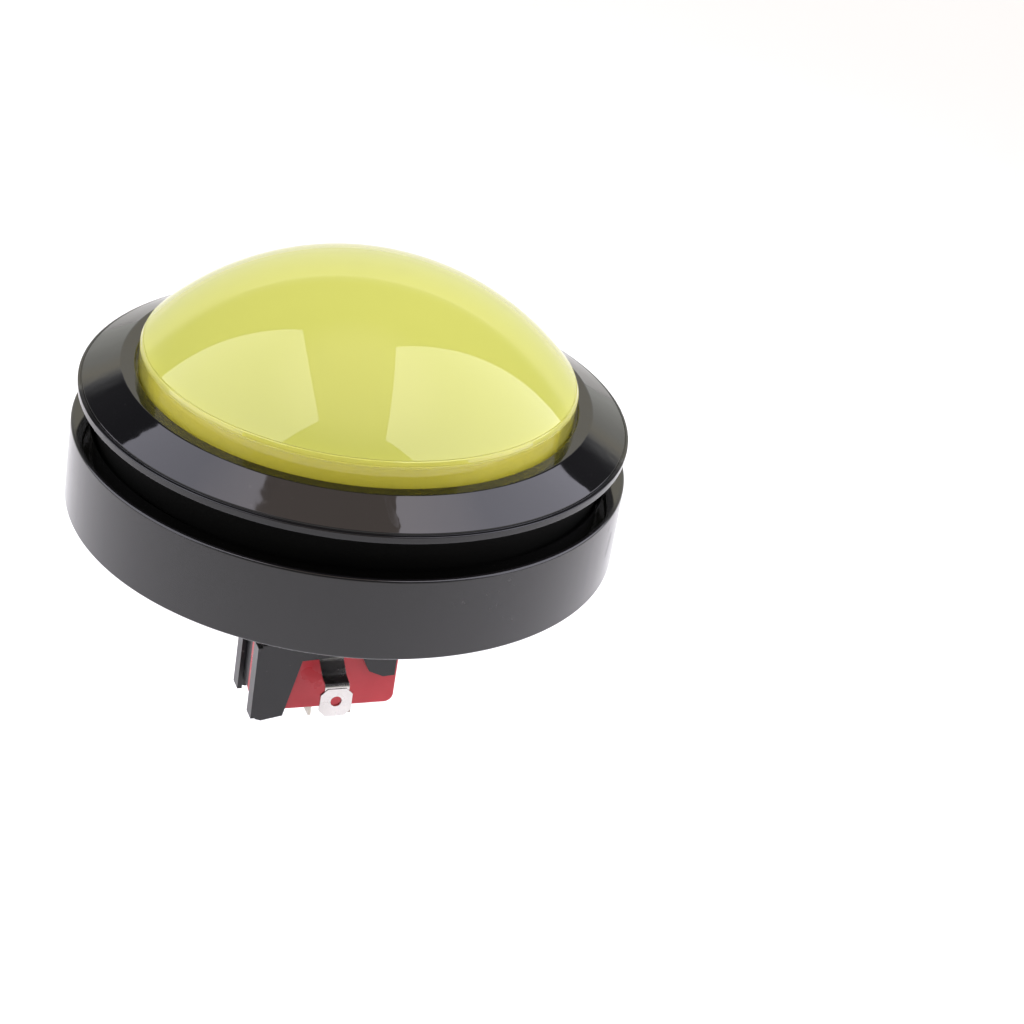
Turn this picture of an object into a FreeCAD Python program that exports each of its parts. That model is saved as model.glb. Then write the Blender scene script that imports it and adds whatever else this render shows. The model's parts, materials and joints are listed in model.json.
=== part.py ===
# Illuminated dome push button (quiz buzzer) for panel mounting.
# Units: millimetres. +Z up, out of the panel towards the player.
# Origin: centre of the button on the plane where the drum's underside meets the panel.
import FreeCAD, Part
import math
import os

os.makedirs("parts", exist_ok=True)
V = FreeCAD.Vector

# ---------------------------------------------------------------- driving dimensions
TRAVEL = 5.0            # head travel
# drum (fixed base)
DRUM_R_TOP = 50.7
DRUM_R_BOT = 50.8
DRUM_H = 15.6
DRUM_WALL_R = 47.0      # inner radius of the drum wall
FLOOR_T = 2.6
RECESS_R0, RECESS_R1, RECESS_D = 17.0, 40.0, 0.8
BOSS_R, BOSS_TOP = 12.0, 8.0
# threaded stem
STEM_R = 12.0
STEM_ROOT_R = 11.25
STEM_BORE_R = 10.0
STEM_BOT = -24.0
SPIGOT_LEN = 6.0        # plain length under the drum that passes the panel
PITCH = 2.0
# nut and washer
WASHER_T = 1.5
NUT_H = 7.0
NUT_R = 17.5
# head
LIP_R = 50.0
LIP_BOT = 22.3
LIP_TOP = 23.6
CREST_R, CREST_Z = 42.6, 27.5
BEZEL_IN_R = 40.1
SKIRT_R, SKIRT_IN_R = 46.4, 45.0
SKIRT_BOT = 7.75
DECK_TOP, DECK_BOT = 22.3, 20.0
LENS_R = 39.6
LENS_APEX = 48.92
LENS_RS = 53.4
LENS_T = 1.8
DIFF_GAP = 0.15
DIFF_T = 1.5
TUBE_OUT_R, TUBE_IN_R = 9.5, 7.5
TUBE_BOT = -6.5
LEG_BOT = -19.95
LEG_HALF_W = 1.9
# spring
SPRING_MEAN_R, SPRING_WIRE = 14.2, 1.3
SPRING_TURNS = 6
# switch unit
SW_L, SW_H, SW_T = 27.8, 15.9, 10.3
SW_TOP = -25.0
SW_SPLIT_Y = 0.6        # red case in front of this plane, black cover behind it
PLUNGER_X = -8.45
LT_OUT_R, LT_IN_R = 5.75, 4.95   # lamp tube
LT_TOP = -3.4
COLLAR_TOP = -16.4
COLLAR_R = 8.9
# lamp
LAMP_R = 4.5


def save(name, shape):
    if shape.ShapeType == "Compound" and len(shape.Solids) == 1:
        shape = shape.Solids[0]
    assert shape.isValid(), name
    shape.exportStep("parts/%s.step" % name)
    print("%-22s solids %d  vol %.1f  z %.2f..%.2f" % (
        name, len(shape.Solids), shape.Volume, shape.BoundBox.ZMin, shape.BoundBox.ZMax))
    return shape


def cyl(r, z0, z1, x=0.0, y=0.0):
    return Part.makeCylinder(r, z1 - z0, V(x, y, z0))


def tube(ro, ri, z0, z1):
    return cyl(ro, z0, z1).cut(cyl(ri, z0 - 1, z1 + 1))


def box(x0, x1, y0, y1, z0, z1):
    return Part.makeBox(x1 - x0, y1 - y0, z1 - z0, V(x0, y0, z0))


def revolve(pts):
    """Closed profile of (r, z) points turned about Z."""
    w = Part.makePolygon([V(r, 0, z) for r, z in pts] + [V(pts[0][0], 0, pts[0][1])])
    return Part.Face(w).revolve(V(0, 0, 0), V(0, 0, 1), 360)


def rev_edges(edges):
    return Part.Face(Part.Wire(edges)).revolve(V(0, 0, 0), V(0, 0, 1), 360)


def line(a, b):
    return Part.LineSegment(V(a[0], 0, a[1]), V(b[0], 0, b[1])).toShape()


def arc(a, m, b):
    return Part.Arc(V(a[0], 0, a[1]), V(m[0], 0, m[1]), V(b[0], 0, b[1])).toShape()


def prism_xz(pts, y0, y1):
    """Polygon in the XZ plane extruded from y0 to y1."""
    w = Part.makePolygon([V(x, y0, z) for x, z in pts] + [V(pts[0][0], y0, pts[0][1])])
    return Part.Face(w).extrude(V(0, y1 - y0, 0))


def prism_yz(pts, x0, x1):
    w = Part.makePolygon([V(x0, y, z) for y, z in pts] + [V(x0, pts[0][0], pts[0][1])])
    return Part.Face(w).extrude(V(x1 - x0, 0, 0))


def sector(ro, ri, z0, z1, mid_deg, half_deg):
    """Block of a ring centred on mid_deg."""
    s = Part.makeCylinder(ro, z1 - z0, V(0, 0, z0), V(0, 0, 1), 2 * half_deg)
    s = s.cut(cyl(ri, z0 - 1, z1 + 1))
    s.rotate(V(0, 0, 0), V(0, 0, 1), mid_deg - half_deg)
    return s


def fillet_at(shape, test, r):
    es = [e for e in shape.Edges if test(e)]
    try:
        out = shape.makeFillet(r, es)
        if out.isValid() and out.Volume > 0:
            return out
    except Exception as err:
        print("fillet skipped", err)
    return shape


# ---------------------------------------------------------------- 1 base_drum
drum = rev_edges([
    line((STEM_BORE_R, 0.0), (DRUM_R_BOT - 0.5, 0.0)),
    arc((DRUM_R_BOT - 0.5, 0.0), (DRUM_R_BOT - 0.146, 0.146), (DRUM_R_BOT, 0.5)),
    line((DRUM_R_BOT, 0.5), (DRUM_R_TOP, DRUM_H - 0.5)),
    arc((DRUM_R_TOP, DRUM_H - 0.5), (DRUM_R_TOP - 0.15, DRUM_H - 0.15), (DRUM_R_TOP - 0.5, DRUM_H)),
    line((DRUM_R_TOP - 0.5, DRUM_H), (DRUM_WALL_R + 0.4, DRUM_H)),
    line((DRUM_WALL_R + 0.4, DRUM_H), (DRUM_WALL_R, DRUM_H - 0.4)),
    line((DRUM_WALL_R, DRUM_H - 0.4), (DRUM_WALL_R, FLOOR_T)),
    line((DRUM_WALL_R, FLOOR_T), (BOSS_R, FLOOR_T)),
    line((BOSS_R, FLOOR_T), (BOSS_R, BOSS_TOP)),
    line((BOSS_R, BOSS_TOP), (STEM_BORE_R, BOSS_TOP)),
    line((STEM_BORE_R, BOSS_TOP), (STEM_BORE_R, 0.0)),
])
# shallow recess in the underside, crossed by eight ribs
recess = tube(RECESS_R1, RECESS_R0, -0.5, RECESS_D)
for k in range(8):
    rib = box(RECESS_R0 - 2, RECESS_R1 + 2, -0.9, 0.9, -1, RECESS_D + 1)
    rib.rotate(V(0, 0, 0), V(0, 0, 1), 22.5 + 45 * k)
    recess = recess.cut(rib)
drum = drum.cut(recess)
# stem: plain spigot, then thread ridges drawn as rings, chamfered end
pts = [(STEM_BORE_R, 0.0), (STEM_R, 0.0), (STEM_R, -SPIGOT_LEN)]
z = -SPIGOT_LEN
while z - PITCH > STEM_BOT + 0.9:
    pts += [(STEM_ROOT_R, z - 0.45), (STEM_ROOT_R, z - 1.05), (STEM_R, z - 1.55), (STEM_R, z - PITCH)]
    z -= PITCH
pts += [(STEM_ROOT_R, z - 0.45), (STEM_ROOT_R, STEM_BOT), (STEM_BORE_R, STEM_BOT)]
stem = revolve(pts)
drum = drum.fuse(stem)
# catch lugs that hold the head down against its spring
for k in range(3):
    drum = drum.fuse(sector(DRUM_WALL_R + 1.0, 45.55, 8.8, 9.8, 90 + 120 * k, 7.0))
# eight radial stiffening ribs on the floor, clear of the head's skirt and the spring
for k in range(8):
    rib = box(16.2, 43.6, -0.8, 0.8, FLOOR_T - 0.3, 5.4)
    rib.rotate(V(0, 0, 0), V(0, 0, 1), 22.5 + 45 * k)
    drum = drum.fuse(rib)
# notches at the stem's open end for the two snap ears of the switch unit
for a in (0, 180):
    n = box(8.0, 13.0, -4.4, 4.4, STEM_BOT - 1, STEM_BOT + 2.6)
    n.rotate(V(0, 0, 0), V(0, 0, 1), a)
    drum = drum.cut(n)
drum = drum.removeSplitter()
save("base_drum", drum)

# ---------------------------------------------------------------- 2 mounting_washer
washer = revolve([(STEM_R + 0.35, -SPIGOT_LEN - WASHER_T), (NUT_R - 0.4, -SPIGOT_LEN - WASHER_T),
                  (NUT_R, -SPIGOT_LEN - WASHER_T + 0.4), (NUT_R, -SPIGOT_LEN - 0.4),
                  (NUT_R - 0.4, -SPIGOT_LEN), (STEM_R + 0.35, -SPIGOT_LEN)])
save("mounting_washer", washer)

# ---------------------------------------------------------------- 3 mounting_nut
nz1 = -SPIGOT_LEN - WASHER_T - 0.02
nz0 = nz1 - NUT_H
nut = revolve([(STEM_R + 0.3, nz0 + 0.6), (STEM_R + 0.9, nz0), (NUT_R - 0.9, nz0), (NUT_R - 0.1, nz0 + 0.8),
               (NUT_R - 0.1, nz1 - 1.6), (NUT_R + 0.4, nz1 - 1.2), (NUT_R + 0.4, nz1), (STEM_R + 0.9, nz1), (STEM_R + 0.3, nz1 - 0.6)])
for k in range(24):
    g = cyl(0.85, nz0 - 1, nz1 - 1.9, NUT_R + 0.25, 0)
    g.rotate(V(0, 0, 0), V(0, 0, 1), 15 * k)
    nut = nut.cut(g)
save("mounting_nut", nut)

# ---------------------------------------------------------------- 4 head_carrier
carrier = revolve([(TUBE_IN_R, DECK_BOT), (SKIRT_R, DECK_BOT), (SKIRT_R, DECK_TOP), (TUBE_IN_R, DECK_TOP)])
carrier = carrier.fuse(tube(SKIRT_R, SKIRT_IN_R, SKIRT_BOT, DECK_BOT + 0.5))
carrier = carrier.fuse(tube(TUBE_OUT_R, TUBE_IN_R, TUBE_BOT, DECK_BOT + 0.5))
# leg that reaches down beside the lamp tube and works the switch
leg = tube(TUBE_OUT_R - 0.1, TUBE_IN_R + 0.1, LEG_BOT, TUBE_BOT + 4)
leg = leg.common(box(-12, -5, -LEG_HALF_W, LEG_HALF_W, LEG_BOT - 1, TUBE_BOT + 6))
carrier = carrier.fuse(leg)
# windows in the skirt for the catch lugs
for k in range(3):
    carrier = carrier.cut(sector(SKIRT_R + 1, SKIRT_IN_R - 1, 8.75, 14.95, 90 + 120 * k, 8.0))
# deck gussets between tube and skirt, clear of the spring
for k in range(6):
    g = box(16.5, 39.4, -0.8, 0.8, 17.4, DECK_BOT + 0.2)
    g.rotate(V(0, 0, 0), V(0, 0, 1), 30 + 60 * k)
    carrier = carrier.fuse(g)
# six screw clearance holes
SCREW_PCR = 42.55
for k in range(6):
    a = math.radians(60 * k)
    carrier = carrier.cut(cyl(1.55, DECK_BOT - 1, DECK_TOP + 1, SCREW_PCR * math.cos(a), SCREW_PCR * math.sin(a)))
carrier = carrier.removeSplitter()
save("head_carrier", carrier)

# ---------------------------------------------------------------- 5 bezel_ring
bezel = rev_edges([
    line((BEZEL_IN_R + 0.9, LIP_BOT), (LIP_R - 0.25, LIP_BOT)),
    line((LIP_R - 0.25, LIP_BOT), (LIP_R, LIP_BOT + 0.25)),
    line((LIP_R, LIP_BOT + 0.25), (LIP_R, LIP_TOP)),
    line((LIP_R, LIP_TOP), (LIP_R - 0.45, LIP_TOP + 0.12)),
    line((LIP_R - 0.45, LIP_TOP + 0.12), (LIP_R - 0.65, LIP_TOP + 0.42)),
    line((LIP_R - 0.65, LIP_TOP + 0.42), (CREST_R + 0.5, CREST_Z - 0.12)),
    arc((CREST_R + 0.5, CREST_Z - 0.12), (CREST_R + 0.05, CREST_Z), (CREST_R - 0.5, CREST_Z - 0.08)),
    line((CREST_R - 0.5, CREST_Z - 0.08), (BEZEL_IN_R + 0.3, CREST_Z - 0.18)),
    arc((BEZEL_IN_R + 0.3, CREST_Z - 0.18), (BEZEL_IN_R + 0.09, CREST_Z - 0.27), (BEZEL_IN_R, CREST_Z - 0.48)),
    line((BEZEL_IN_R, CREST_Z - 0.48), (BEZEL_IN_R, 24.55)),
    line((BEZEL_IN_R, 24.55), (BEZEL_IN_R + 0.9, 24.55)),
    line((BEZEL_IN_R + 0.9, 24.55), (BEZEL_IN_R + 0.9, LIP_BOT)),
])
# hollow underside between the neck and the lip, as moulded
bezel = bezel.cut(tube(LIP_R - 1.6, SKIRT_R + 0.25, LIP_BOT - 1, LIP_BOT + 0.9))
for k in range(6):
    a = math.radians(60 * k)
    bezel = bezel.cut(cyl(1.25, LIP_BOT - 1, 26.2, SCREW_PCR * math.cos(a), SCREW_PCR * math.sin(a)))
save("bezel_ring", bezel)


def dome(rb, apex, rs, t, z_foot, flange_r, flange_z0, flange_z1, blend):
    """Shell of revolution: flange, upright band of radius rb, then a spherical cap."""
    zc = apex - rs
    # outer profile: band up to the cap, rounded at their meeting edge
    ze = zc + math.sqrt(rs * rs - rb * rb)
    # blend between band (vertical) and cap with an arc of radius blend tangent to both
    # centre of blend circle lies at r = rb - blend, distance rs - blend from the cap centre
    rbc = rb - blend
    zbc = zc + math.sqrt((rs - blend) ** 2 - rbc ** 2)
    t_r = rbc * rs / (rs - blend)
    t_z = zc + (zbc - zc) * rs / (rs - blend)
    am = 0.5 * math.atan2(t_z - zbc, t_r - rbc)
    mid = (rbc + blend * math.cos(am), zbc + blend * math.sin(am))
    capmid_a = 0.5 * (math.atan2(t_z - zc, t_r) + math.pi / 2)
    capmid = (rs * math.cos(capmid_a), zc + rs * math.sin(capmid_a))
    # inner profile
    rs2, rb2, bl2 = rs - t, rb - t, max(blend - t, 0.6)
    rbc2 = rb2 - bl2
    zbc2 = zc + math.sqrt((rs2 - bl2) ** 2 - rbc2 ** 2)
    t_r2 = rbc2 * rs2 / (rs2 - bl2)
    t_z2 = zc + (zbc2 - zc) * rs2 / (rs2 - bl2)
    am2 = 0.5 * math.atan2(t_z2 - zbc2, t_r2 - rbc2)
    mid2 = (rbc2 + bl2 * math.cos(am2), zbc2 + bl2 * math.sin(am2))
    cap2_a = 0.5 * (math.atan2(t_z2 - zc, t_r2) + math.pi / 2)
    capmid2 = (rs2 * math.cos(cap2_a), zc + rs2 * math.sin(cap2_a))
    return rev_edges([
        line((rb2, flange_z0), (flange_r, flange_z0)),
        line((flange_r, flange_z0), (flange_r, flange_z1)),
        line((flange_r, flange_z1), (rb, flange_z1)),
        line((rb, flange_z1), (rb, zbc)),
        arc((rb, zbc), mid, (t_r, t_z)),
        arc((t_r, t_z), capmid, (0.0, apex)),
        line((0.0, apex), (0.0, apex - t)),
        arc((0.0, apex - t), capmid2, (t_r2, t_z2)),
        arc((t_r2, t_z2), mid2, (rb2, zbc2)),
        line((rb2, zbc2), (rb2, flange_z0)),
    ])


# ---------------------------------------------------------------- 6 dome_lens, 7 diffuser_dome
lens = dome(LENS_R, LENS_APEX, LENS_RS, LENS_T, DECK_TOP, 40.85, DECK_TOP, 24.5, 0.7)
save("dome_lens", lens)
d_rb = LENS_R - LENS_T - DIFF_GAP
diffuser = dome(d_rb, LENS_APEX - LENS_T - DIFF_GAP, LENS_RS - LENS_T - DIFF_GAP, DIFF_T,
                DECK_TOP, d_rb + 0.1, DECK_TOP, 23.6, 1.0)
save("diffuser_dome", diffuser)

# ---------------------------------------------------------------- 8 retaining_screws (six, one node)
screws = []
for k in range(6):
    a = math.radians(60 * k)
    x, y = SCREW_PCR * math.cos(a), SCREW_PCR * math.sin(a)
    s = cyl(1.2, DECK_BOT, 26.0, x, y)
    head = cyl(2.25, DECK_BOT - 1.8, DECK_BOT, x, y)
    head = fillet_at(head, lambda e: abs(e.BoundBox.ZMax - (DECK_BOT - 1.8)) < 1e-6 and e.BoundBox.XLength > 3, 0.5)
    cross = box(x - 1.2, x + 1.2, y - 0.3, y + 0.3, DECK_BOT - 2, DECK_BOT - 1.0).fuse(
        box(x - 0.3, x + 0.3, y - 1.2, y + 1.2, DECK_BOT - 2, DECK_BOT - 1.0))
    screws.append(s.fuse(head).cut(cross))
save("retaining_screws", Part.makeCompound(screws))

# ---------------------------------------------------------------- 9 return_spring
spring = tube(SPRING_MEAN_R + SPRING_WIRE / 2, SPRING_MEAN_R - SPRING_WIRE / 2, FLOOR_T, DECK_BOT)
save("return_spring", spring)

# ---------------------------------------------------------------- 10 lamp_holder (bracket of the switch unit)
FRONT = -SW_T / 2
PL_T = 1.3                       # wing plate thickness
SOCKET_Z = LT_TOP - 9.6          # floor of the lamp socket
CT_T = 0.4                       # lamp contact strip thickness
PRONG_X = 1.5                    # inner face of a lamp contact prong
SW_BOT = SW_TOP - SW_H


def mirror_y(sh):
    return sh.mirror(V(0, 0, 0), V(0, 1, 0))


def strip(path, radii, t, x0, x1):
    """Bent strip: centre line in the YZ plane with a bend radius at each inner point."""
    P = [V(0, p[0], p[1]) for p in path]
    n = len(P)
    ends = {}
    for i in range(1, n - 1):
        d1 = (P[i] - P[i - 1]).normalize()
        d2 = (P[i + 1] - P[i]).normalize()
        turn = d1.getAngle(d2)
        tl = radii[i - 1] * math.tan(turn / 2)
        ends[i] = (P[i] - d1 * tl, P[i] + d2 * tl, d1, d2, turn, radii[i - 1])
    def side(s):
        out = []
        nrm = lambda d: V(0, -d.z, d.y)
        cur = P[0] + nrm((P[1] - P[0]).normalize()) * (s * t / 2)
        for i in range(1, n - 1):
            a, b, d1, d2, turn, r = ends[i]
            sg = 1.0 if (d1.y * d2.z - d1.z * d2.y) > 0 else -1.0   # left turn
            c = a + nrm(d1) * (sg * r)
            pa = a + nrm(d1) * (s * t / 2)
            pb = b + nrm(d2) * (s * t / 2)
            md = ((a - c) + (b - c)).normalize()
            rr = r - s * sg * t / 2
            out.append(("l", cur, pa))
            out.append(("a", pa, c + md * rr, pb))
            cur = pb
        out.append(("l", cur, P[-1] + nrm((P[-1] - P[-2]).normalize()) * (s * t / 2)))
        return out
    L, R = side(1), side(-1)
    def edge(e):
        if e[0] == "l":
            return Part.LineSegment(e[1], e[2]).toShape()
        return Part.Arc(e[1], e[2], e[3]).toShape()
    es = [edge(e) for e in L]
    es.append(Part.LineSegment(L[-1][-1], R[-1][-1]).toShape())
    es += [edge(e) for e in R]
    es.append(Part.LineSegment(L[0][1], R[0][1]).toShape())
    w = Part.Wire(Part.__sortEdges__(es))
    f = Part.Face(w)
    f.translate(V(x0, 0, 0))
    return f.extrude(V(x1 - x0, 0, 0))


holder = Part.makeCone(LT_OUT_R + 0.15, LT_OUT_R - 0.1, LT_TOP - COLLAR_TOP, V(0, 0, COLLAR_TOP))
holder = holder.fuse(cyl(COLLAR_R, COLLAR_TOP - 3.0, COLLAR_TOP))
holder = holder.fuse(cyl(7.6, SW_TOP, COLLAR_TOP - 2.0))
holder = holder.fuse(cyl(COLLAR_R, SW_TOP, SW_TOP + 2.0))
holder = holder.fuse(box(-5.6, 5.6, FRONT - 0.9, -FRONT + 0.9, SW_TOP, COLLAR_TOP - 3.0))
# wing plates front and back, which clasp the switch
plate_pts = [(-5.6, SW_TOP + 2.0), (-5.6, SW_TOP), (-SW_L / 2 - 0.15, SW_TOP - 0.1),
             (-SW_L / 2 - 0.15, SW_BOT - 0.8), (-SW_L / 2 + 1.0, SW_BOT - 1.2),
             (-SW_L / 2 + 5.2, SW_BOT - 0.4), (-6.0, SW_TOP - 4.1), (5.6, SW_TOP - 3.4),
             (7.6, SW_TOP - 7.4), (10.6, SW_TOP - 8.8), (12.9, SW_TOP - 8.6), (12.9, SW_TOP - 0.5),
             (11.8, SW_TOP + 0.8), (5.6, SW_TOP + 0.1), (5.6, SW_TOP + 2.0)]
holder = holder.fuse(prism_xz(plate_pts, FRONT - 0.15 - PL_T, FRONT - 0.15))
holder = holder.fuse(prism_xz(plate_pts, -FRONT + 0.15, -FRONT + 0.15 + PL_T))
# end return of the long wings, a lip round the switch's left end
holder = holder.fuse(box(-SW_L / 2 - 1.05, -SW_L / 2 - 0.12, FRONT - 0.15 - PL_T, FRONT + 1.5, SW_BOT - 0.6, SW_TOP - 0.6))
holder = holder.fuse(box(-SW_L / 2 - 1.05, -SW_L / 2 - 0.12, -FRONT - 1.5, -FRONT + 0.15 + PL_T, SW_BOT - 0.6, SW_TOP - 0.6))
# rim nub left by moulding
nub = cyl(0.55, LT_TOP - 1.4, LT_TOP + 0.4, -2.2, -LT_OUT_R + 1.0)
holder = holder.fuse(nub)
# upright ears: a forked ear astride the leg, a hooked one opposite
for sy in (-1, 1):
    y0, y1 = sorted((sy * 2.25, sy * 3.9))
    holder = holder.fuse(box(-9.4, -6.2, y0, y1, SW_TOP, COLLAR_TOP + 4.2).common(cyl(9.55, SW_TOP - 1, COLLAR_TOP + 5)))
ear_r = box(7.3, 9.4, -3.2, 3.2, SW_TOP, COLLAR_TOP + 2.6).common(cyl(9.55, SW_TOP - 1, COLLAR_TOP + 4))
ear_r = ear_r.fuse(box(9.0, 9.8, -2.0, 2.0, COLLAR_TOP + 1.0, COLLAR_TOP + 2.0).common(cyl(9.8, SW_TOP - 1, COLLAR_TOP + 4)))
holder = holder.fuse(ear_r)
# socket bore, then the slot that holds the two prongs and the lamp's wedge
holder = holder.cut(cyl(LT_IN_R, SOCKET_Z, LT_TOP + 2))
holder = holder.cut(box(-2.05, 2.05, -3.1, 3.1, SW_TOP - 0.5, SOCKET_Z + 0.5))
# passage for the leg, right through the collar down to the switch plunger
holder = holder.cut(box(-10.5, -7.15, -2.2, 2.2, SW_TOP - 0.5, COLLAR_TOP + 6))
# front and back windows of the collar
w1 = box(-2.6, 3.2, -20, -6.2, COLLAR_TOP - 2.4, COLLAR_TOP - 0.9)
w2 = box(-1.6, 4.4, -20, -4.4, SW_TOP + 3.2, COLLAR_TOP - 3.4)
for w in (w1, w2, mirror_y(w1), mirror_y(w2)):
    holder = holder.cut(w)
# channel for each lamp contact, and the window that shows it
ch = box(-2.6, 2.6, -5.85, -1.9, SW_TOP + 0.85, SW_TOP + 1.55).fuse(box(-2.6, 2.6, -5.85, FRONT - 0.1, SW_TOP - 6, SW_TOP + 1.55))
win = box(-1.7, 2.3, -20, FRONT - 0.1, SW_TOP - 2.2, SW_TOP - 0.4)
for c in (ch, win):
    holder = holder.cut(c).cut(mirror_y(c))
# pegs that enter the switch's two fixing holes
PEG = [(-11.1, SW_BOT + 3.2), (11.1, SW_TOP - 3.2)]
for (px, pz) in PEG:
    holder = holder.fuse(Part.makeCylinder(1.45, 1.6, V(px, FRONT - 0.2, pz), V(0, 1, 0)))
    holder = holder.fuse(Part.makeCylinder(1.45, 1.6, V(px, -FRONT + 0.2, pz), V(0, -1, 0)))
holder = holder.removeSplitter()
save("lamp_holder", holder)

# ---------------------------------------------------------------- 11, 12 lamp contacts
T = SW_TOP
yc = FRONT - 0.1 - CT_T / 2
contact = strip([(-2.0, T + 1.2), (yc, T + 1.2), (yc, T - 4.6), (-8.6, T - 6.7), (-10.9, T - 7.1), (-11.1, T - 13.8)],
                [0.5, 1.6, 1.6, 0.7], CT_T, -2.4, 2.4)
contact = contact.fuse(box(PRONG_X, PRONG_X + CT_T, -3.0, 1.2, T + 1.0, SOCKET_Z + 0.2))
contact = contact.fuse(box(PRONG_X, PRONG_X + CT_T, -0.9, 0.9, SOCKET_Z, LT_TOP - 5.6))
tab = strip([(-10.98, T - 7.75), (-11.1, T - 13.8)], [], CT_T + 0.2, -3.15, 3.15)
tab = tab.cut(Part.makeCylinder(1.1, 6, V(0, -14, T - 10.5), V(0, 1, 0)))
for sx in (-1, 1):     # clipped corners
    for (cz, up) in ((T - 13.8, 1), (T - 7.75, -1)):
        w = Part.makePolygon([V(sx * 3.5, -13, cz - up * 0.5), V(sx * 3.5, -13, cz + up * 1.6), V(sx * 1.3, -13, cz - up * 0.5), V(sx * 3.5, -13, cz - up * 0.5)])
        tab = tab.cut(Part.Face(w).extrude(V(0, 4, 0)))
contact = contact.cut(Part.makeCylinder(1.1, 6, V(0, -14, T - 10.5), V(0, 1, 0)))
for sx in (-1, 1):
    w = Part.makePolygon([V(sx * 3.5, -13, T - 14.3), V(sx * 3.5, -13, T - 12.2), V(sx * 1.3, -13, T - 14.3), V(sx * 3.5, -13, T - 14.3)])
    contact = contact.cut(Part.Face(w).extrude(V(0, 4, 0)))
contact = contact.fuse(tab).removeSplitter()
save("lamp_contact_front", contact)
rear = contact.copy()
rear.rotate(V(0, 0, 0), V(0, 0, 1), 180)
save("lamp_contact_rear", rear)

# ---------------------------------------------------------------- 13..15 switch terminals
TERM_W = 4.75
def y_box(x0, x1, w, z0, z1):
    return box(x0, x1, -w / 2, w / 2, z0, z1)

COM_Z = T - 6.2
com = y_box(5.5, SW_L / 2 + 7.7, TERM_W, COM_Z - 0.6, COM_Z)
for sy in (-1, 1):     # tapered, rounded outer end
    w = Part.makePolygon([V(SW_L / 2 + 6.3, sy * 3, COM_Z - 2), V(SW_L / 2 + 9, sy * 3, COM_Z - 2), V(SW_L / 2 + 9, sy * 0.6, COM_Z - 2), V(SW_L / 2 + 6.3, sy * 3, COM_Z - 2)])
    com = com.cut(Part.Face(w).extrude(V(0, 0, 4)))
com = com.fuse(y_box(5.5, SW_L / 2 + 2.0, TERM_W + 1.4, COM_Z - 0.6, COM_Z))
com = com.cut(cyl(1.0, COM_Z - 2, COM_Z + 2, SW_L / 2 + 5.2, 0))
com = com.fuse(y_box(5.5, 6.1, 3.6, COM_Z - 0.6, T - 3.1)).removeSplitter()
save("com_terminal", com)

NO_Z = T - 5.1
no = y_box(-11.9, 2.9, 3.6, NO_Z - 0.4, NO_Z).fuse(y_box(2.5, 2.9, 3.6, T - 11.9, NO_Z))
no = no.fuse(y_box(2.5, 6.8, 3.6, T - 12.3, T - 11.9)).fuse(y_box(6.2, 6.8, 3.6, SW_BOT - 4.2, T - 11.9))
no = no.cut(Part.makeCylinder(0.7, 4, V(4, 0, SW_BOT - 2.5), V(1, 0, 0))).fuse(cyl(1.0, NO_Z, NO_Z + 0.3, -10.8, 0)).removeSplitter()
save("no_terminal", no)

NC_Z = T - 1.5
nc = y_box(-12.75, -9.9, 3.6, NC_Z - 0.4, NC_Z).fuse(y_box(-12.75, -12.35, 3.6, T - 9.0, NC_Z))
nc = nc.fuse(y_box(-12.75, -1.3, 3.6, T - 9.0, T - 8.6)).fuse(y_box(-1.9, -1.3, 3.6, SW_BOT - 4.2, T - 8.6))
nc = nc.cut(Part.makeCylinder(0.7, 4, V(-3, 0, SW_BOT - 2.5), V(1, 0, 0))).fuse(cyl(1.0, NC_Z - 0.65, NC_Z - 0.4, -10.8, 0)).removeSplitter()
save("nc_terminal", nc)

# ---------------------------------------------------------------- 16 moving_contact
MB_Z = T - 2.7           # blade's upper face
blade = y_box(-11.9, 5.2, 3.4, MB_Z - 0.35, MB_Z)
blade = blade.cut(y_box(-7.0, 3.4, 1.5, MB_Z - 1, MB_Z + 1))
blade = blade.fuse(cyl(1.05, MB_Z - 0.75, MB_Z + 0.52, -10.85, 0))
# rolled end, turning in the notch of the common terminal
roll = Part.makeCylinder(0.3, 3.4, V(5.0, -1.7, MB_Z - 0.175), V(0, 1, 0))
blade = blade.cut(box(5.0, 6.0, -2, 2, MB_Z - 1, MB_Z + 1)).fuse(roll)
save("moving_contact", blade.removeSplitter())

# ---------------------------------------------------------------- 17 switch_plunger
PL_X0, PL_X1 = PLUNGER_X - 1.15, PLUNGER_X + 1.15
plunger = box(PL_X0, PL_X1, -1.3, 1.3, T - 1.7, T + 1.5)
plunger = fillet_at(plunger, lambda e: abs(e.BoundBox.ZMin - (T + 1.5)) < 1e-6, 0.35)
save("switch_plunger", plunger)

# ---------------------------------------------------------------- 18 switch_case, 19 switch_cover
def round_block(x0, x1, y0, y1, z0, z1, r):
    b = box(x0, x1, y0, y1, z0, z1)
    return fillet_at(b, lambda e: e.BoundBox.YLength > (y1 - y0) * 0.9 and e.BoundBox.XLength < 1e-6 and e.BoundBox.ZLength < 1e-6, r)

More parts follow.
